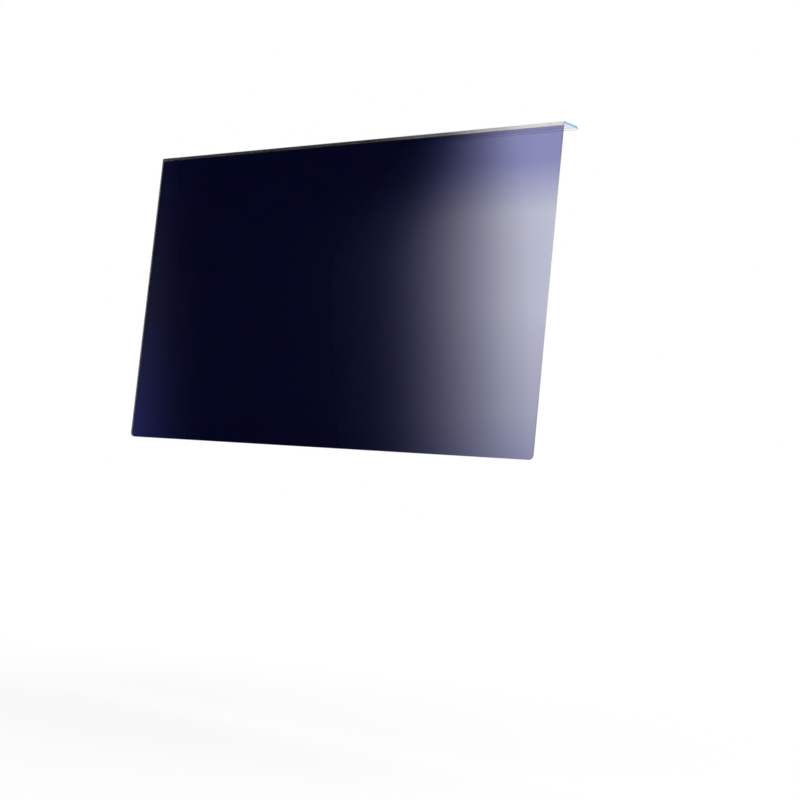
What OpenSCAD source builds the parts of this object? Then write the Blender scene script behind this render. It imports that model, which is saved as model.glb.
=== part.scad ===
// Hang-on privacy filter for a desktop monitor.
// A clear acrylic sheet is bent back at the top into a lip that hooks over the monitor.
// A dark privacy film is bonded to the back of the sheet, the side that faces the screen.
// Width runs along X, the front faces -Y and the sheet hangs down along -Z.
// The origin is the middle of the lip's underside, where the filter rests on the monitor.

/* [Panel] */
// Width of the sheet from left to right
panel_w = 540; // [300:1:800]
// Height of the sheet from its bottom edge to the top of the bend
panel_h = 330; // [180:1:500]
// Thickness of the acrylic sheet
sheet_t = 2; // [1.5:0.1:4]
// Radius of the two bottom corners
corner_r = 5; // [2:0.5:20]

/* [Lip] */
// Depth of the lip from the front of the panel to the rear of the turned-down edge
lip_depth = 29; // [18:1:60]
// Degrees that the lip rises towards the rear above square to the panel
lip_rise = 4.5; // [0:0.5:8]
// Inside radius of the bend between the panel and the lip
bend_r = 1; // [0.8:0.1:4]
// Inside radius of the bend into the turned-down edge
edge_bend_r = 0.6; // [0.4:0.1:2]
// Drop of the turned-down edge below the underside of the lip
edge_drop = 1; // [0.8:0.1:4]

/* [Film] */
// Thickness of the privacy film
film_t = 0.5; // [0.2:0.1:1]
// Gap between the end of the bend and the top of the film
film_top_gap = 1; // [0.1:0.1:10]
// Bare border of the sheet beside and below the film
film_border = 0.2; // [0.1:0.1:1.5]

/* [Hidden] */
$fn = 180;
// Margin by which a cutting solid passes the surface that it cuts
cut = 1;
// Degrees that a bend runs into the flats beside it so that they join, too few to show
lap = 0.02;
// Outer radii of the two bends
bend_out_r = bend_r + sheet_t;
edge_out_r = edge_bend_r + sheet_t;
// Flat length of the lip between the two bends
lip_flat = (lip_depth - bend_out_r - edge_out_r + (bend_r - edge_bend_r) * sin(lip_rise)) / cos(lip_rise);
// Straight length of the turned-down edge below its bend
edge_leg = edge_drop - edge_bend_r;
// Height of the flat sheet below the bend
flat_h = panel_h - bend_out_r;
// Centre of the lip bend, in depth and height from the middle of the lip's underside
bend_y = bend_r * sin(lip_rise) - lip_flat / 2 * cos(lip_rise);
bend_z = -bend_r * cos(lip_rise) - lip_flat / 2 * sin(lip_rise);
// Back face of the sheet, and the size of the film on it
sheet_back_y = bend_y - bend_r;
film_w = panel_w - 2 * film_border;
film_h = flat_h - film_top_gap - film_border;

// Part of a ring between two radii, from angle a0 to angle a1, with a sweep under 120 degrees
module ring_sector(r_in, r_out, a0, a1) {
    reach = 3 * r_out;
    from = a0 - lap;
    to = a1 + lap;
    intersection() {
        difference() {
            circle(r = r_out);
            circle(r = r_in);
        }
        polygon([[0, 0], reach * [cos(from), sin(from)], reach * [cos(to), sin(to)]]);
    }
}

// Turned-down rear edge, drawn from the centre of its bend with the lip level
module edge_profile() {
    ring_sector(edge_bend_r, edge_out_r, -lip_rise, 90);
    rotate(-lip_rise) translate([edge_bend_r, -edge_leg]) square([sheet_t, edge_leg]);
}

// Lip and its rear edge, drawn level from the centre of the lip bend
module lip_profile() {
    translate([0, bend_r]) square([lip_flat, sheet_t]);
    translate([lip_flat, bend_r - edge_bend_r]) edge_profile();
}

// Section of the bent sheet in depth and height, drawn from the centre of the lip bend
module sheet_profile() {
    translate([-bend_out_r, -flat_h]) square([sheet_t, flat_h]);
    ring_sector(bend_r, bend_out_r, 90 + lip_rise, 180);
    rotate(lip_rise) lip_profile();
}

// Waste outside a rounded corner that points to -X and -Y
module corner_waste(r) {
    difference() {
        translate([-cut, -cut]) square(r + cut);
        translate([r, r]) circle(r = r);
    }
}

// Rectangle centred on X with its top at the origin and its two bottom corners rounded
module sheet_outline(w, h, r) {
    difference() {
        translate([-w / 2, -h]) square([w, h]);
        translate([-w / 2, -h]) corner_waste(r);
        translate([w / 2, -h]) mirror([1, 0]) corner_waste(r);
    }
}

// Waste of the two bottom corners as solids that pass through the sheet
module corner_cutters() {
    for (side = [-1, 1])
        translate([side * panel_w / 2, sheet_back_y + cut, bend_z - flat_h])
            rotate([90, 0, 0])
                linear_extrude(height = sheet_t + 2 * cut)
                    mirror([side > 0 ? 1 : 0, 0]) corner_waste(corner_r);
}

// Clear acrylic sheet with its bent lip and turned-down rear edge
module acrylic_panel() {
    color([0.72, 0.84, 0.96, 0.4])
        difference() {
            translate([-panel_w / 2, bend_y, bend_z])
                rotate([90, 0, 90])
                    linear_extrude(height = panel_w) sheet_profile();
            corner_cutters();
        }
}

// Dark blue privacy film on the back of the sheet
module privacy_film() {
    color([0.05, 0.05, 0.16])
        translate([0, sheet_back_y + film_t, bend_z - film_top_gap])
            rotate([90, 0, 0])
                linear_extrude(height = film_t)
                    sheet_outline(film_w, film_h, corner_r - film_border);
}

acrylic_panel();
privacy_film();
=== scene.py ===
from math import cos, pi, radians, sin

import bmesh
import bpy
from mathutils import Matrix, Vector


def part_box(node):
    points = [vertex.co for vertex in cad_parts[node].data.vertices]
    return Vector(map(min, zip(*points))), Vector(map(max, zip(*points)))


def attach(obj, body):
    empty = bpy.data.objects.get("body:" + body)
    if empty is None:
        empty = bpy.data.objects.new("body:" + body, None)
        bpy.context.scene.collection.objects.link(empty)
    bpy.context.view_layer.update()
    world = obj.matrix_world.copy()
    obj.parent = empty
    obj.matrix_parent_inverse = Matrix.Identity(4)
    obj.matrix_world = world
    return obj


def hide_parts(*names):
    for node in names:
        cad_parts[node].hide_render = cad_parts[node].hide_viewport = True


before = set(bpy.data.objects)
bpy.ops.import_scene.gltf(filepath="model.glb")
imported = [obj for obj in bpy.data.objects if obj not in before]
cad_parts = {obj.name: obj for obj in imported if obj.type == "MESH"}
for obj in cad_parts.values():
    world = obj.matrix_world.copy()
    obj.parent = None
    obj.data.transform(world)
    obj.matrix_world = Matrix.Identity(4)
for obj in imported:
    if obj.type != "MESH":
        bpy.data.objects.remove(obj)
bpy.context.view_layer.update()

bl_info = {
    "name": "Hang-on privacy filter",
    "version": (1, 0, 0),
    "blender": (4, 5, 0),
    "location": "3D View > Sidebar > Privacy filter",
    "description": "Builds a bent acrylic sheet with a louvre film on its back, and a pale studio",
    "category": "Object",
}

SHEET_LOW, SHEET_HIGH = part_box("acrylic_panel")
FILM_LOW, FILM_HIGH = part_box("privacy_film")
BODY = "root"
MM = 0.001

# The bend's material starts this far below the film's top in front, and a face belongs to the
# flat panel if its middle is below the film's top by the margin
FRONT_SEAM = 0.4 * MM
SEAM_MARGIN = 0.5 * MM
# A face is part of an edge if its normal leans this far to the side or, near the bottom, less
# than this to the front or back
EDGE_LEAN = 0.1
FLAT_LEAN = 0.95
# Edges whose faces meet at more than this are rounded
SHARP_ANGLE = radians(40)

ACRYLIC_IOR = 1.49
# Specular level of the panel, below the usual 0.5 because its front mirrors so little
PANEL_GLOSS = 0.25
# Blend at which a Layer Weight's Facing is one minus the cosine
PLAIN_BLEND = 0.5
# Relief of the polishing streaks on an edge, its strength, and their stretch along the edge
STREAK_DEPTH = 0.03 * MM
STREAK_STRENGTH = 0.4
STREAK_STRETCH = (1, 1, 0.12)
# Noise between which the handling marks grow from nothing to full
MARKS_FROM, MARKS_TO = 0.45, 0.75
# Facing between which the haze on the lip grows from nothing to full
HAZE_FROM, HAZE_TO = 0.6, 0.9
# Distances from the rear of the lip between which the painted glow on its ends turns from azure to
# violet
CURL_FROM, CURL_TO = 5 * MM, 1 * MM

# Degrees from the plane of the louvres: the film's upper part shuts faster about the pivot, a
# painted shade that darkens it towards the top; it is shut at the second angle and shows a painted
# gleam past the third
TOP_SHADE_PIVOT = 31.8
SHUT_ANGLE = 42.5
GLEAM_ANGLE = 43
# Share of the film's height above which it shuts faster, as painted shade
TOP_SHADE_FROM = 0.55
# Degrees from the plane of the louvres, tint of what is seen through, and share of louvre wall;
# past the gleam angle the walls thin again as a painted gleam
LOUVRE_STOPS = (
    (20, (0.95, 0.95, 1), 0), (30, (0.9, 0.91, 1), 0.02), (31, (0.9, 0.9, 1), 0.06),
    (32, (0.89, 0.9, 1), 0.19), (33, (0.87, 0.87, 1), 0.35), (34, (0.85, 0.85, 1), 0.51),
    (35, (0.79, 0.8, 1), 0.65), (36, (0.73, 0.75, 1), 0.78), (37, (0.69, 0.71, 1), 0.87),
    (39, (0.65, 0.68, 1), 0.95), (SHUT_ANGLE, (0.65, 0.68, 1), 0.999),
    (GLEAM_ANGLE, (1, 1, 1), 0.999), (44.5, (1, 1, 1), 0.89), (46, (1, 1, 1), 0.72),
    (50, (1, 1, 1), 0.72), (62, (1, 1, 1), 0.96))
# Degrees from the plane of the louvres, and colour of the bend, a painted reflection of the film
# that darkens as it shuts
BEND_REFLECTION_STOPS = (
    (26, (0.98, 0.98, 0.98)), (30.8, (0.98, 0.97, 0.97)), (31.9, (0.49, 0.47, 0.46)),
    (33.8, (0.042, 0.041, 0.04)), (36.4, (0.003, 0.003, 0.0029)),
    (39, (0.0028, 0.0028, 0.003)), (43.5, (0.003, 0.003, 0.0032)),
    (44.8, (0.013, 0.013, 0.013)))

# Distances from the middle between which the floor turns white, and the share of white inside
FLOOR_FADE_FROM, FLOOR_FADE_TO = 0.2, 0.8
FLOOR_WHITE_SHARE = 0.55
# Places on the Y axis between which the mirrored floor goes from the dim room to white
ROOM_FLOOR_FROM, ROOM_FLOOR_TO = -2.5, -0.8
# Y of a mirrored ray's direction between which it goes from the dim room to white
ROOM_SKY_FROM, ROOM_SKY_TO = -0.3, 0.2
# Name, place, size and power of each soft light
LAMPS = (("top_light", (0.3, 0.4, 2.2), 2.0, 22),
         ("right_light", (2.2, -0.4, 0.9), 1.5, 22),
         ("rear_light", (-1.2, 2.2, 0.9), 1.5, 12))


class SheetSettings(bpy.types.PropertyGroup):
    """Sizes and colours of the acrylic sheet"""
    panel_height: bpy.props.FloatProperty(
        name="Panel height", description="From the bottom edge to the top of the bend",
        default=330 * MM, unit="LENGTH", subtype="DISTANCE")
    thickness: bpy.props.FloatProperty(
        name="Thickness", description="Thickness of the sheet",
        default=2 * MM, precision=4, unit="LENGTH", subtype="DISTANCE")
    corner_radius: bpy.props.FloatProperty(
        name="Corner radius", description="Radius of the two bottom corners",
        default=5 * MM, precision=4, unit="LENGTH", subtype="DISTANCE")
    lip_rise: bpy.props.FloatProperty(
        name="Lip rise", description="Angle that the lip rises to the rear",
        default=radians(4.5), subtype="ANGLE")
    bend_radius: bpy.props.FloatProperty(
        name="Bend radius", description="Inside radius of the bend between panel and lip",
        default=1 * MM, precision=4, unit="LENGTH", subtype="DISTANCE")
    edge_bend_radius: bpy.props.FloatProperty(
        name="Rear bend radius", description="Inside radius of the turned-down rear edge",
        default=0.6 * MM, precision=4, unit="LENGTH", subtype="DISTANCE")
    edge_drop: bpy.props.FloatProperty(
        name="Rear edge drop", description="Drop of the rear edge below the lip's underside",
        default=1 * MM, precision=4, unit="LENGTH", subtype="DISTANCE")
    polish_radius: bpy.props.FloatProperty(
        name="Polish radius", description="Rounding of the flame-polished edges",
        default=0.25 * MM, precision=5, unit="LENGTH", subtype="DISTANCE")
    acrylic_color: bpy.props.FloatVectorProperty(
        name="Acrylic", description="Faint tint of the clear sheet",
        default=(0.96, 0.97, 0.985), min=0, max=1, subtype="COLOR")
    # Painted glow: the azure and the violet of the lip's ends stand in for light that the clear
    # sheet carries to them
    lip_edge_glow_color: bpy.props.FloatVectorProperty(
        name="Lip edge", description="Azure of the lip's polished ends",
        default=(0.20, 0.43, 0.77), min=0, max=1, subtype="COLOR")
    curl_edge_glow_color: bpy.props.FloatVectorProperty(
        name="Rear edge", description="Violet blue of the lip's ends at the rear",
        default=(0.29, 0.36, 0.62), min=0, max=1, subtype="COLOR")
    # Painted light and shade: the side edge's greys stand in for what shows through the clear
    # edge, dark near the lip, pale in the middle, darker taupe at the bottom
    cut_edge_top_shade_color: bpy.props.FloatVectorProperty(
        name="Side edge, top", description="Dark grey of the panel's side edges near the lip",
        default=(0.155, 0.15, 0.155), min=0, max=1, subtype="COLOR")
    cut_edge_middle_light_color: bpy.props.FloatVectorProperty(
        name="Side edge, middle",
        description="Pale grey of the panel's side edges above half height",
        default=(0.48, 0.475, 0.455), min=0, max=1, subtype="COLOR")
    cut_edge_bottom_shade_color: bpy.props.FloatVectorProperty(
        name="Side edge, bottom", description="Taupe of the panel's side edges near the bottom",
        default=(0.245, 0.24, 0.23), min=0, max=1, subtype="COLOR")
    # Painted shade: the dark grey stands in for the dark that a clear edge shows from inside the
    # sheet
    inner_edge_shade_color: bpy.props.FloatVectorProperty(
        name="Edge from inside", description="Dark grey of an edge seen through the sheet",
        default=(0.05, 0.048, 0.055), min=0, max=1, subtype="COLOR")
    handling: bpy.props.FloatProperty(
        name="Handling marks",
        description="Roughness of the faint marks that hands leave on the gloss",
        default=0.03, min=0, max=1, subtype="FACTOR")
    haze_color: bpy.props.FloatVectorProperty(
        name="Haze", description="Pale warm grey of the haze on the lip",
        default=(0.87, 0.81, 0.80), min=0, max=1, subtype="COLOR")
    haze: bpy.props.FloatProperty(
        name="Haze at a graze", description="Cover of the haze on the lip seen at a graze",
        default=0.8, min=0, max=1, subtype="FACTOR")


class FilmSettings(bpy.types.PropertyGroup):
    """Sizes and colours of the louvre film"""
    border: bpy.props.FloatProperty(
        name="Border", description="Bare border of the sheet around the film",
        default=0.2 * MM, precision=4, unit="LENGTH", subtype="DISTANCE")
    bond_gap: bpy.props.FloatProperty(
        name="Bond gap", description="Thickness of the bond between sheet and film",
        default=0.02 * MM, precision=5, unit="LENGTH", subtype="DISTANCE")
    body_color: bpy.props.FloatVectorProperty(
        name="Louvres", description="Colour of the louvre walls, seen where the film is shut",
        default=(0.0009, 0.0019, 0.028), min=0, max=1, subtype="COLOR")
    # Painted shade: the see-through colour is darker towards the top and the bottom edges, with
    # painted light at the top edge under the lip
    top_painted_shade: bpy.props.FloatVectorProperty(
        name="Top tint", description="Tint of the see-through colour near the top",
        default=(0.605, 0.605, 0.745), min=0, max=1, subtype="COLOR")
    rim_painted_light: bpy.props.FloatVectorProperty(
        name="Rim tint",
        description="Tint of the see-through colour at the top edge, under the lip",
        default=(0.655, 0.655, 0.80), min=0, max=1, subtype="COLOR")
    middle_tint: bpy.props.FloatVectorProperty(
        name="Middle tint", description="Tint of the see-through colour across the middle",
        default=(0.86, 0.86, 0.86), min=0, max=1, subtype="COLOR")
    lower_painted_shade: bpy.props.FloatVectorProperty(
        name="Lower tint", description="Tint of the see-through colour near the bottom",
        default=(0.74, 0.74, 0.77), min=0, max=1, subtype="COLOR")
    bottom_painted_shade: bpy.props.FloatVectorProperty(
        name="Bottom tint", description="Tint of the see-through colour at the bottom edge",
        default=(0.63, 0.63, 0.70), min=0, max=1, subtype="COLOR")
    # Painted shade: shutting the louvres faster darkens the film towards the top
    top_shade_gain: bpy.props.FloatProperty(
        name="Top closing",
        description="How much faster the louvres shut at the top than at half height",
        default=1.75, min=1, subtype="FACTOR")
    # Painted gleam: past a steep angle the film lets the white through again with these tints,
    # more indigo at the top and the bottom
    painted_gleam_middle_tint: bpy.props.FloatVectorProperty(
        name="Side gleam, middle",
        description="Tint of the gleam that the film shows at a steep angle",
        default=(0.44, 0.44, 0.66), min=0, max=1, subtype="COLOR")
    painted_gleam_end_tint: bpy.props.FloatVectorProperty(
        name="Side gleam, ends",
        description="The same tint at the top and the bottom, more indigo",
        default=(0.45, 0.46, 1.0), min=0, max=1, subtype="COLOR")


class StageSettings(bpy.types.PropertyGroup):
    """Floor, light and camera"""
    floor_level: bpy.props.FloatProperty(
        name="Floor level", description="Height of the floor in the filter's frame",
        default=-0.62, unit="LENGTH", subtype="DISTANCE")
    floor_radius: bpy.props.FloatProperty(
        name="Floor radius", description="Radius of the round floor",
        default=6.0, unit="LENGTH", subtype="DISTANCE")
    floor_color: bpy.props.FloatVectorProperty(
        name="Floor", description="Colour of the pale floor",
        default=(0.93, 0.93, 0.93), min=0, max=1, subtype="COLOR")
    ambient: bpy.props.FloatProperty(
        name="Ambient light", description="Strength of the even light from all sides",
        default=0.6, min=0, subtype="FACTOR")
    room: bpy.props.FloatProperty(
        name="Room", description="Brightness of the room that the front of the filter mirrors",
        default=0.005, min=0, subtype="FACTOR")
    camera_azimuth: bpy.props.FloatProperty(
        name="Camera azimuth", description="Turn of the camera to the panel's right",
        default=radians(36.13), subtype="ANGLE")
    camera_elevation: bpy.props.FloatProperty(
        name="Camera elevation", description="Rise of the camera above the aim, negative below",
        default=radians(-5.24), subtype="ANGLE")
    camera_roll: bpy.props.FloatProperty(
        name="Camera roll", description="Turn of the camera about its line of sight",
        default=radians(5.76), subtype="ANGLE")
    camera_distance: bpy.props.FloatProperty(
        name="Camera distance", description="Distance from the camera to the aim",
        default=1.519, unit="LENGTH", subtype="DISTANCE")
    camera_aim: bpy.props.FloatVectorProperty(
        name="Camera aim", description="Point at the centre of the picture",
        default=(0.1088, -0.0144, -0.276), unit="LENGTH", subtype="TRANSLATION")
    lens: bpy.props.FloatProperty(
        name="Focal length", description="Focal length on a 36 mm sensor",
        default=67.5, min=1, subtype="DISTANCE_CAMERA")


def new_piece(name, bm, materials):
    """Makes an object from a bmesh, links it and gives it its materials."""
    mesh = bpy.data.meshes.new(name)
    bm.to_mesh(mesh)
    bm.free()
    piece = bpy.data.objects.new(name, mesh)
    bpy.context.scene.collection.objects.link(piece)
    for material in materials:
        mesh.materials.append(material)
    return piece


def loft(stations):
    """A closed strip from stations of half width, outer point and inner point in the YZ plane."""
    bm = bmesh.new()
    rings = []
    for half, outer, inner in stations:
        corners = ((-half, outer), (half, outer), (half, inner), (-half, inner))
        rings.append([bm.verts.new((x, y, z)) for x, (y, z) in corners])
    for low, high in zip(rings, rings[1:]):
        for i in range(4):
            j = (i + 1) % 4
            bm.faces.new((low[i], low[j], high[j], high[i]))
    bm.faces.new(rings[0][::-1])
    bm.faces.new(rings[-1])
    bmesh.ops.recalc_face_normals(bm, faces=bm.faces)
    return bm


def round_edges(bm, radius, segments=3):
    """Rounds every edge whose faces meet at more than the sharp angle."""
    sharp = [e for e in bm.edges if e.calc_face_angle(0) > SHARP_ANGLE]
    bmesh.ops.bevel(bm, geom=sharp, offset=radius, segments=segments, profile=0.5,
                    affect="EDGES", clamp_overlap=True)


def smooth_piece(piece):
    """Shades a piece smooth, with its normals led by the large faces."""
    for face in piece.data.polygons:
        face.use_smooth = True
    modifier = piece.modifiers.new("Even normals", "WEIGHTED_NORMAL")
    modifier.keep_sharp = False
    modifier.weight = 100


def corner_stations(half, radius, low_z, outer_y, inner_y, steps=10):
    """Stations up the rounded bottom corners of an upright sheet."""
    stations = []
    for i in range(steps + 1):
        turn = pi / 2 * i / steps
        width = half - radius * (1 - sin(turn))
        z = low_z + radius * (1 - cos(turn))
        stations.append((width, (outer_y, z), (inner_y, z)))
    return stations


def arc_stations(half, centre, outer, inner, start, end, steps=18):
    """Stations round a bend about a centre in the YZ plane."""
    stations = []
    for i in range(steps + 1):
        a = start + (end - start) * i / steps
        y, z = cos(a), sin(a)
        stations.append((half,
                         (centre[0] + outer * y, centre[1] + outer * z),
                         (centre[0] + inner * y, centre[1] + inner * z)))
    return stations


def sheet_stations(s):
    """Stations of the whole sheet: up the panel, back along the lip and down its rear edge."""
    half = SHEET_HIGH.x
    t, rise = s.thickness, s.lip_rise
    bend_out = s.bend_radius + t
    edge_out = s.edge_bend_radius + t
    up = s.bend_radius - s.edge_bend_radius
    depth = SHEET_HIGH.y - SHEET_LOW.y
    flat = (depth - bend_out - edge_out + up * sin(rise)) / cos(rise)
    centre = (SHEET_LOW.y + bend_out, SHEET_LOW.z + s.panel_height - bend_out)
    rear = (centre[0] + flat * cos(rise) - up * sin(rise),
            centre[1] + flat * sin(rise) + up * cos(rise))
    tip = rear[1] - (s.edge_drop - s.edge_bend_radius)
    stations = corner_stations(half, s.corner_radius, SHEET_LOW.z, SHEET_LOW.y, SHEET_LOW.y + t)
    stations.append((half, (SHEET_LOW.y, FILM_HIGH.z - FRONT_SEAM),
                     (SHEET_LOW.y + t, FILM_HIGH.z)))
    stations += arc_stations(half, centre, bend_out, s.bend_radius, pi, pi / 2 + rise)
    stations += arc_stations(half, rear, edge_out, s.edge_bend_radius, pi / 2 + rise, 0)
    stations.append((half, (rear[0] + edge_out, tip), (rear[0] + s.edge_bend_radius, tip)))
    # Nothing passes the top of the solid's box
    stations = [(width, (y, min(z, SHEET_HIGH.z)), inner) for width, (y, z), inner in stations]
    return stations, centre[1]


def new_material(name):
    """An empty material, its node tree and the surface socket of its output."""
    material = bpy.data.materials.new(name)
    material.use_nodes = True
    tree = material.node_tree
    tree.nodes.clear()
    output = tree.nodes.new("ShaderNodeOutputMaterial")
    return material, tree, output.inputs["Surface"]


def feed(tree, socket, value):
    """Links an input to a socket, or sets it to a plain value."""
    if isinstance(value, bpy.types.NodeSocket):
        tree.links.new(value, socket)
    else:
        socket.default_value = value


def add_node(tree, kind, **inputs):
    """A new node with its inputs fed by name, underscores standing for spaces."""
    node = tree.nodes.new(kind)
    for name, value in inputs.items():
        feed(tree, node.inputs[name.replace("_", " ")], value)
    return node


def calc(tree, operation, *values):
    """A socket with the result of a Math node over sockets and plain numbers."""
    node = tree.nodes.new("ShaderNodeMath")
    node.operation = operation
    for socket, value in zip(node.inputs, values):
        feed(tree, socket, value)
    return node.outputs[0]


def map_range(tree, value, start, end, low=0, high=1, curve="LINEAR"):
    """A socket that runs from low to high while the value runs from start to end."""
    node = add_node(tree, "ShaderNodeMapRange", Value=value, From_Min=start, From_Max=end,
                    To_Min=low, To_Max=high)
    node.interpolation_type = curve
    return node.outputs["Result"]


def mix_values(tree, factor, first, second, kind="RGBA", blend="MIX"):
    """A socket with the mix of two colours, or of two numbers if the kind is FLOAT."""
    node = tree.nodes.new("ShaderNodeMix")
    node.data_type = kind
    node.blend_type = blend
    for name, value in (("Factor", factor), ("A", first), ("B", second)):
        feed(tree, node.inputs[name], value)
    return node.outputs["Result"]


def mix_shaders(tree, factor, first, second, surface):
    """Mixes two shaders into a surface socket."""
    mix = add_node(tree, "ShaderNodeMixShader", Fac=factor)
    tree.links.new(first.outputs[0], mix.inputs[1])
    tree.links.new(second.outputs[0], mix.inputs[2])
    tree.links.new(mix.outputs[0], surface)


def object_axis(tree, axis):
    """A socket with the place along an axis of the object."""
    place = tree.nodes.new("ShaderNodeTexCoord")
    split = add_node(tree, "ShaderNodeSeparateXYZ", Vector=place.outputs["Object"])
    return split.outputs[axis]


def share_along(tree, axis, start, end):
    """A socket that runs from 0 to 1 along an axis of the object."""
    return map_range(tree, object_axis(tree, axis), start, end)


def new_group(name, inputs, outputs):
    """A node group with number sockets, and its input and output nodes."""
    group = bpy.data.node_groups.new(name, "ShaderNodeTree")
    socket = group.interface.new_socket
    for label, default in inputs:
        socket(name=label, in_out="INPUT", socket_type="NodeSocketFloat").default_value = default
    for label in outputs:
        socket(name=label, in_out="OUTPUT", socket_type="NodeSocketFloat")
    return group, group.nodes.new("NodeGroupInput"), group.nodes.new("NodeGroupOutput")


def use_group(tree, group, **inputs):
    """A node that puts a shared group into a tree."""
    node = tree.nodes.new("ShaderNodeGroup")
    node.node_tree = group
    for name, value in inputs.items():
        feed(tree, node.inputs[name.replace("_", " ")], value)
    return node


def polish_group():
    """Fine streaks that polishing leaves along an edge, as a mask and a height."""
    group = bpy.data.node_groups.get("Polish streaks")
    if group:
        return group
    group, source, sink = new_group("Polish streaks",
                                    (("Streak scale", 900.0), ("Contrast", 0.1)),
                                    ("Mask", "Height"))
    place = group.nodes.new("ShaderNodeTexCoord")
    stretch = add_node(group, "ShaderNodeMapping", Vector=place.outputs["Object"],
                       Scale=STREAK_STRETCH)
    noise = add_node(group, "ShaderNodeTexNoise", Vector=stretch.outputs["Vector"],
                     Scale=source.outputs["Streak scale"], Detail=3)
    darkest = calc(group, "SUBTRACT", 1, source.outputs["Contrast"])
    mask = map_range(group, noise.outputs["Fac"], 0, 1, low=darkest)
    group.links.new(mask, sink.inputs["Mask"])
    group.links.new(noise.outputs["Fac"], sink.inputs["Height"])
    return group


def add_streaks(tree, shader, base, scale, contrast):
    """Puts polishing streaks over a colour socket and into the shader's bump."""
    streaks = use_group(tree, polish_group(), Streak_scale=scale, Contrast=contrast)
    shade = mix_values(tree, 1, base, streaks.outputs["Mask"], blend="MULTIPLY")
    bump = add_node(tree, "ShaderNodeBump", Distance=STREAK_DEPTH, Strength=STREAK_STRENGTH,
                    Height=streaks.outputs["Height"])
    tree.links.new(shade, shader.inputs["Base Color"])
    tree.links.new(bump.outputs["Normal"], shader.inputs["Normal"])


def marks_group():
    """Faint patches where hands have dulled the gloss, as a roughness."""
    group = bpy.data.node_groups.get("Handling marks")
    if group:
        return group
    group, source, sink = new_group("Handling marks",
                                    (("Mark scale", 12.0), ("Strength", 0.03)), ("Roughness",))
    place = group.nodes.new("ShaderNodeTexCoord")
    noise = add_node(group, "ShaderNodeTexNoise", Vector=place.outputs["Object"],
                     Scale=source.outputs["Mark scale"], Detail=4)
    marks = map_range(group, noise.outputs["Fac"], MARKS_FROM, MARKS_TO,
                      high=source.outputs["Strength"])
    group.links.new(marks, sink.inputs["Roughness"])
    return group


def add_marks(tree, shader, scale, strength):
    """Puts the handling marks into a shader's roughness."""
    marks = use_group(tree, marks_group(), Mark_scale=scale, Strength=strength)
    tree.links.new(marks.outputs["Roughness"], shader.inputs["Roughness"])


def color_ramp(tree, along, stops, curve="LINEAR"):
    """A ramp over a socket, from stops of a position and a colour with its alpha."""
    ramp = add_node(tree, "ShaderNodeValToRGB", Fac=along)
    ramp.color_ramp.interpolation = curve
    elements = ramp.color_ramp.elements
    while len(elements) < len(stops):
        elements.new(0.5)
    for element, (position, rgba) in zip(elements, sorted(stops)):
        element.position = position
        element.color = rgba
    return ramp


def plain_ramp(tree, along, stops, curve="LINEAR"):
    """A socket with the colour over another socket, from stops of a position and a colour."""
    opaque = [(position, (*rgb, 1)) for position, rgb in stops]
    return color_ramp(tree, along, opaque, curve).outputs["Color"]


def at_angle(degrees):
    """Where an angle from the louvres' plane stands on the louvre_angle socket."""
    return 1 - sin(radians(degrees))


def louvre_angle(tree):
    """A socket that is 1 along the louvres and 0 square to them."""
    slat_axis = add_node(tree, "ShaderNodeCombineXYZ", X=1)
    turned = add_node(tree, "ShaderNodeVectorTransform", Vector=slat_axis.outputs[0])
    turned.vector_type = "NORMAL"
    turned.convert_from = "OBJECT"
    turned.convert_to = "WORLD"
    across = add_node(tree, "ShaderNodeLayerWeight", Blend=PLAIN_BLEND,
                      Normal=turned.outputs[0])
    return across.outputs["Facing"]


def clear_acrylic(s):
    """Clear, faintly blue acrylic with a gloss surface."""
    material, tree, surface = new_material("clear_acrylic")
    shader = add_node(tree, "ShaderNodeBsdfPrincipled", Base_Color=(*s.acrylic_color, 1),
                      IOR=ACRYLIC_IOR, Transmission_Weight=1, Specular_IOR_Level=PANEL_GLOSS)
    add_marks(tree, shader, scale=12, strength=s.handling)
    tree.links.new(shader.outputs[0], surface)
    return material


def bend_painted_reflection(s):
    """The acrylic of the bend with a painted reflection: its colour darkens as the film that it
    would mirror shuts.
    """
    material, tree, surface = new_material("bend_painted_reflection")
    # Painted reflection of the film, set by the louvre angle
    stops = [(at_angle(degrees), rgb) for degrees, rgb in BEND_REFLECTION_STOPS]
    base = plain_ramp(tree, louvre_angle(tree), stops)
    shader = add_node(tree, "ShaderNodeBsdfPrincipled", Base_Color=base,
                      IOR=ACRYLIC_IOR, Transmission_Weight=1, Specular_IOR_Level=PANEL_GLOSS)
    add_marks(tree, shader, scale=25, strength=s.handling)
    tree.links.new(shader.outputs[0], surface)
    return material


def lip_acrylic(s):
    """The acrylic of the lip: clear seen square on, with a pale warm grey haze mixed in seen at a
    graze.
    """
    material, tree, surface = new_material("lip_acrylic")
    glass = add_node(tree, "ShaderNodeBsdfPrincipled", Base_Color=(*s.acrylic_color, 1),
                     IOR=ACRYLIC_IOR, Transmission_Weight=1)
    add_marks(tree, glass, scale=40, strength=s.handling)
    haze = add_node(tree, "ShaderNodeBsdfPrincipled", Base_Color=(*s.haze_color, 1),
                    Roughness=0.6, Specular_IOR_Level=0.1)
    graze = add_node(tree, "ShaderNodeLayerWeight", Blend=PLAIN_BLEND)
    cover = map_range(tree, graze.outputs["Facing"], HAZE_FROM, HAZE_TO, high=s.haze,
                      curve="SMOOTHSTEP")
    side = tree.nodes.new("ShaderNodeNewGeometry")
    outside = calc(tree, "SUBTRACT", 1, side.outputs["Backfacing"])
    mix_shaders(tree, calc(tree, "MULTIPLY", cover, outside), glass, haze, surface)
    return material


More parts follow.
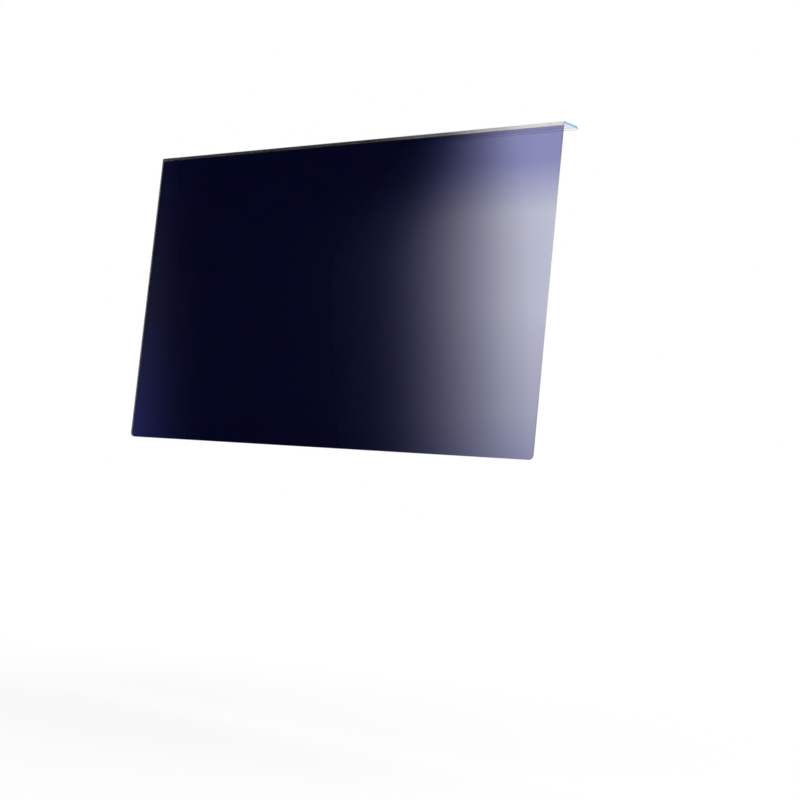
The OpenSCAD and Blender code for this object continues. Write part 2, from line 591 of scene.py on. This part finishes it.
def from_inside(tree, base, inner):
    """A colour socket that turns to the inner colour, a painted shade, where a face is seen from
    inside.
    """
    side = tree.nodes.new("ShaderNodeNewGeometry")
    return mix_values(tree, side.outputs["Backfacing"], base, (*inner, 1))


def lip_edge(s):
    """Polished end of the lip with a painted glow, azure for light that the clear sheet carries to
    its ends, more violet at the rear.
    """
    material, tree, surface = new_material("lip_edge")
    shader = add_node(tree, "ShaderNodeBsdfPrincipled", Roughness=0.2, Specular_IOR_Level=0.3)
    depth = share_along(tree, "Y", SHEET_HIGH.y - CURL_FROM, SHEET_HIGH.y - CURL_TO)
    # Painted glow, azure turning violet towards the rear
    base = plain_ramp(tree, depth, ((0, s.lip_edge_glow_color), (1, s.curl_edge_glow_color)), "EASE")
    seen = from_inside(tree, base, s.inner_edge_shade_color)
    add_streaks(tree, shader, seen, scale=700, contrast=0.1)
    tree.links.new(shader.outputs[0], surface)
    return material


def cut_edge(s):
    """Side edge of the panel with painted light and shade of what shows through a clear edge: dark
    near the lip, pale in the middle, taupe at the bottom.
    """
    material, tree, surface = new_material("cut_edge")
    shader = add_node(tree, "ShaderNodeBsdfPrincipled", Roughness=0.25, Specular_IOR_Level=0.3)
    height = share_along(tree, "Z", SHEET_LOW.z, SHEET_HIGH.z)
    # Painted shade near the lip and the bottom, painted light in the middle
    base = plain_ramp(tree, height, (
        (0, s.cut_edge_bottom_shade_color), (0.5, s.cut_edge_middle_light_color),
        (0.7, s.cut_edge_middle_light_color), (0.95, s.cut_edge_top_shade_color)), "EASE")
    seen = from_inside(tree, base, s.inner_edge_shade_color)
    add_streaks(tree, shader, seen, scale=900, contrast=0.15)
    tree.links.new(shader.outputs[0], surface)
    return material


def steeper(tree, turn, gain, pivot):
    """The angle socket spread from a pivot by a gain socket, as far as the film is shut."""
    spread = calc(tree, "SUBTRACT", turn, pivot)
    moved = calc(tree, "MULTIPLY_ADD", spread, gain, pivot)
    shut = calc(tree, "MINIMUM", turn, at_angle(SHUT_ANGLE))
    return calc(tree, "MAXIMUM", moved, shut)


def louvre_film(s):
    """See-through film whose upright louvres shut as the line of sight turns to the side."""
    material, tree, surface = new_material("louvre_film")
    height = share_along(tree, "Z", FILM_LOW.z, FILM_HIGH.z)
    # Painted shade: the upper part shuts faster
    upper = map_range(tree, height, TOP_SHADE_FROM, 1)
    gain = calc(tree, "MULTIPLY_ADD", calc(tree, "POWER", upper, 2), s.top_shade_gain - 1, 1)
    turn = louvre_angle(tree)
    stops = [(at_angle(degrees), (*rgb, wall)) for degrees, rgb, wall in LOUVRE_STOPS]
    louvres = color_ramp(tree, steeper(tree, turn, gain, at_angle(TOP_SHADE_PIVOT)), stops)
    # Painted gleam at a steep angle, tinted by height
    gleam = plain_ramp(tree, height, (
        (0, s.painted_gleam_end_tint), (0.5, s.painted_gleam_middle_tint), (0.7, s.painted_gleam_middle_tint),
        (1, s.painted_gleam_end_tint)))
    # Painted shade darker towards the top and the bottom, and painted light at the top edge
    tint = plain_ramp(tree, height, (
        (0, s.bottom_painted_shade), (0.13, s.lower_painted_shade), (0.45, s.middle_tint), (0.74, s.middle_tint),
        (0.9, s.top_painted_shade), (0.98, s.top_painted_shade), (0.995, s.rim_painted_light)))
    side = calc(tree, "LESS_THAN", turn, at_angle(GLEAM_ANGLE))
    shade = mix_values(tree, 1, louvres.outputs["Color"], mix_values(tree, side, tint, gleam),
                       blend="MULTIPLY")
    through = add_node(tree, "ShaderNodeBsdfTransparent", Color=shade)
    walls = add_node(tree, "ShaderNodeBsdfPrincipled", Base_Color=(*s.body_color, 1),
                     Roughness=0.3, Specular_IOR_Level=0.05)
    mix_shaders(tree, louvres.outputs["Alpha"], through, walls, surface)
    return material


def ray_kinds(tree):
    """Sockets that are 1 for rays that see a thing, straight or through, and for mirrored ones."""
    path = tree.nodes.new("ShaderNodeLightPath")
    seen = calc(tree, "MAXIMUM", path.outputs["Is Camera Ray"],
                path.outputs["Is Transmission Ray"])
    # Rays that pass through the sheet count as glossy too, and only the depth tells them apart
    mirrored = calc(tree, "MINIMUM", path.outputs["Glossy Depth"], 1)
    return seen, mirrored


def floor_material(s):
    """Pale floor with a shadow, white further out and mirrored as the dim room in front."""
    material, tree, surface = new_material("pale_floor")
    seen, mirrored = ray_kinds(tree)
    place = tree.nodes.new("ShaderNodeTexCoord")
    away = tree.nodes.new("ShaderNodeVectorMath")
    away.operation = "LENGTH"
    tree.links.new(place.outputs["Object"], away.inputs[0])
    fade = map_range(tree, away.outputs["Value"], FLOOR_FADE_FROM, FLOOR_FADE_TO,
                     low=FLOOR_WHITE_SHARE, curve="SMOOTHSTEP")
    white_share = calc(tree, "MAXIMUM", calc(tree, "MULTIPLY", fade, seen), mirrored)
    near = map_range(tree, object_axis(tree, "Y"), ROOM_FLOOR_FROM, ROOM_FLOOR_TO, low=s.room,
                     curve="SMOOTHSTEP")
    lit = add_node(tree, "ShaderNodeBsdfDiffuse", Color=(*s.floor_color, 1))
    white = add_node(tree, "ShaderNodeEmission",
                     Strength=mix_values(tree, mirrored, 1, near, kind="FLOAT"))
    mix_shaders(tree, white_share, lit, white, surface)
    return material


def white_world(s):
    """White where it is seen, even light elsewhere and a dim room in front for mirrored rays."""
    world = bpy.context.scene.world or bpy.data.worlds.new("studio")
    bpy.context.scene.world = world
    world.use_nodes = True
    tree = world.node_tree
    tree.nodes.clear()
    seen, mirrored = ray_kinds(tree)
    direct = map_range(tree, seen, 0, 1, low=s.ambient)
    direction = tree.nodes.new("ShaderNodeTexCoord")
    split = add_node(tree, "ShaderNodeSeparateXYZ", Vector=direction.outputs["Generated"])
    rear = map_range(tree, split.outputs["Y"], ROOM_SKY_FROM, ROOM_SKY_TO, low=s.room,
                     curve="SMOOTHSTEP")
    background = add_node(tree, "ShaderNodeBackground", Color=(1, 1, 1, 1),
                          Strength=mix_values(tree, mirrored, direct, rear, kind="FLOAT"))
    output = tree.nodes.new("ShaderNodeOutputWorld")
    tree.links.new(background.outputs[0], output.inputs["Surface"])


def soft_light(name, place, aim, size, power):
    """A square area light that points at an aim."""
    lamp = bpy.data.lights.new(name, "AREA")
    lamp.size = size
    lamp.energy = power
    light = bpy.data.objects.new(name, lamp)
    light.location = place
    light.rotation_euler = (Vector(aim) - Vector(place)).to_track_quat("-Z", "Y").to_euler()
    light.visible_camera = False
    light.visible_transmission = False
    light.visible_glossy = False
    bpy.context.scene.collection.objects.link(light)


def add_camera(s):
    """Camera at the photograph's viewing angle."""
    data = bpy.data.cameras.new("camera")
    data.lens = s.lens
    data.sensor_width = 36
    camera = bpy.data.objects.new("camera", data)
    bpy.context.scene.collection.objects.link(camera)
    back = Vector((sin(s.camera_azimuth) * cos(s.camera_elevation),
                   -cos(s.camera_azimuth) * cos(s.camera_elevation),
                   sin(s.camera_elevation)))
    place = Vector(s.camera_aim) + s.camera_distance * back
    turn = (-back).to_track_quat("-Z", "Y").to_matrix() @ Matrix.Rotation(s.camera_roll, 3, "Z")
    camera.matrix_world = Matrix.Translation(place) @ turn.to_4x4()
    bpy.context.scene.camera = camera


class FILTER_OT_sheet(bpy.types.Operator):
    """Builds the bent acrylic sheet in place of its plain solid"""
    bl_idname = "privacy_filter.sheet"
    bl_label = "Acrylic sheet"

    def execute(self, context):
        s = context.scene.filter_sheet
        stations, bend_z = sheet_stations(s)
        bm = loft(stations)
        round_edges(bm, s.polish_radius)
        clear, bend, lip, lip_end, side_edge = range(5)
        for face in bm.faces:
            middle = face.calc_center_median()
            low_end = middle.z < SHEET_LOW.z + s.corner_radius
            lean = abs(face.normal.x), abs(face.normal.y)
            if lean[0] > EDGE_LEAN or (low_end and lean[1] < FLAT_LEAN):
                face.material_index = lip_end if middle.z > bend_z else side_edge
            elif middle.z < FILM_HIGH.z - SEAM_MARGIN:
                face.material_index = clear
            elif middle.y < SHEET_LOW.y + s.thickness + s.bend_radius:
                face.material_index = bend
            else:
                face.material_index = lip
        sheet = new_piece("bent_sheet", bm, (clear_acrylic(s), bend_painted_reflection(s), lip_acrylic(s),
                                             lip_edge(s), cut_edge(s)))
        smooth_piece(sheet)
        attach(sheet, BODY)
        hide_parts("acrylic_panel")
        return {"FINISHED"}


class FILTER_OT_film(bpy.types.Operator):
    """Builds the louvre film in place of its plain solid"""
    bl_idname = "privacy_filter.film"
    bl_label = "Louvre film"

    def execute(self, context):
        s = context.scene.filter_film
        radius = context.scene.filter_sheet.corner_radius - s.border
        front, back = FILM_LOW.y + s.bond_gap, FILM_HIGH.y
        stations = corner_stations(FILM_HIGH.x, radius, FILM_LOW.z, front, back)
        stations.append((FILM_HIGH.x, (front, FILM_HIGH.z), (back, FILM_HIGH.z)))
        film = new_piece("film_sheet", loft(stations), (louvre_film(s),))
        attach(film, BODY)
        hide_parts("privacy_film")
        return {"FINISHED"}


class FILTER_OT_stage(bpy.types.Operator):
    """Builds the floor, the soft lights, the white surroundings and the camera"""
    bl_idname = "privacy_filter.stage"
    bl_label = "Stage and camera"

    def execute(self, context):
        s = context.scene.filter_stage
        bm = bmesh.new()
        bmesh.ops.create_circle(bm, cap_ends=True, segments=96, radius=s.floor_radius)
        floor = new_piece("floor", bm, (floor_material(s),))
        floor.location.z = s.floor_level
        middle = (0, 0, (SHEET_LOW.z + SHEET_HIGH.z) / 2)
        for name, place, size, power in LAMPS:
            soft_light(name, place, middle, size, power)
        white_world(s)
        add_camera(s)
        context.scene.view_settings.view_transform = "Standard"
        return {"FINISHED"}


class FILTER_PT_panel(bpy.types.Panel):
    """Lists the pieces and their settings"""
    bl_idname = "FILTER_PT_panel"
    bl_label = "Privacy filter"
    bl_space_type = "VIEW_3D"
    bl_region_type = "UI"
    bl_category = "Privacy filter"

    def draw(self, context):
        for operator, settings, _ in STEPS:
            box = self.layout.box()
            box.operator(operator.bl_idname)
            group = getattr(context.scene, settings)
            for name in group.__annotations__:
                box.prop(group, name)


STEPS = ((FILTER_OT_sheet, "filter_sheet", SheetSettings),
         (FILTER_OT_film, "filter_film", FilmSettings),
         (FILTER_OT_stage, "filter_stage", StageSettings))
CLASSES = (SheetSettings, FilmSettings, StageSettings,
           FILTER_OT_sheet, FILTER_OT_film, FILTER_OT_stage, FILTER_PT_panel)


def register():
    """Registers the classes and puts the settings on the scene."""
    for item in CLASSES:
        bpy.utils.register_class(item)
    for _, name, group in STEPS:
        setattr(bpy.types.Scene, name, bpy.props.PointerProperty(type=group))


def unregister():
    """Takes the settings and the classes away again."""
    for _, name, _ in STEPS:
        delattr(bpy.types.Scene, name)
    for item in reversed(CLASSES):
        bpy.utils.unregister_class(item)


def main():
    """Builds every piece."""
    register()
    bpy.ops.privacy_filter.sheet()
    bpy.ops.privacy_filter.film()
    bpy.ops.privacy_filter.stage()


if __name__ == "__main__":
    main()
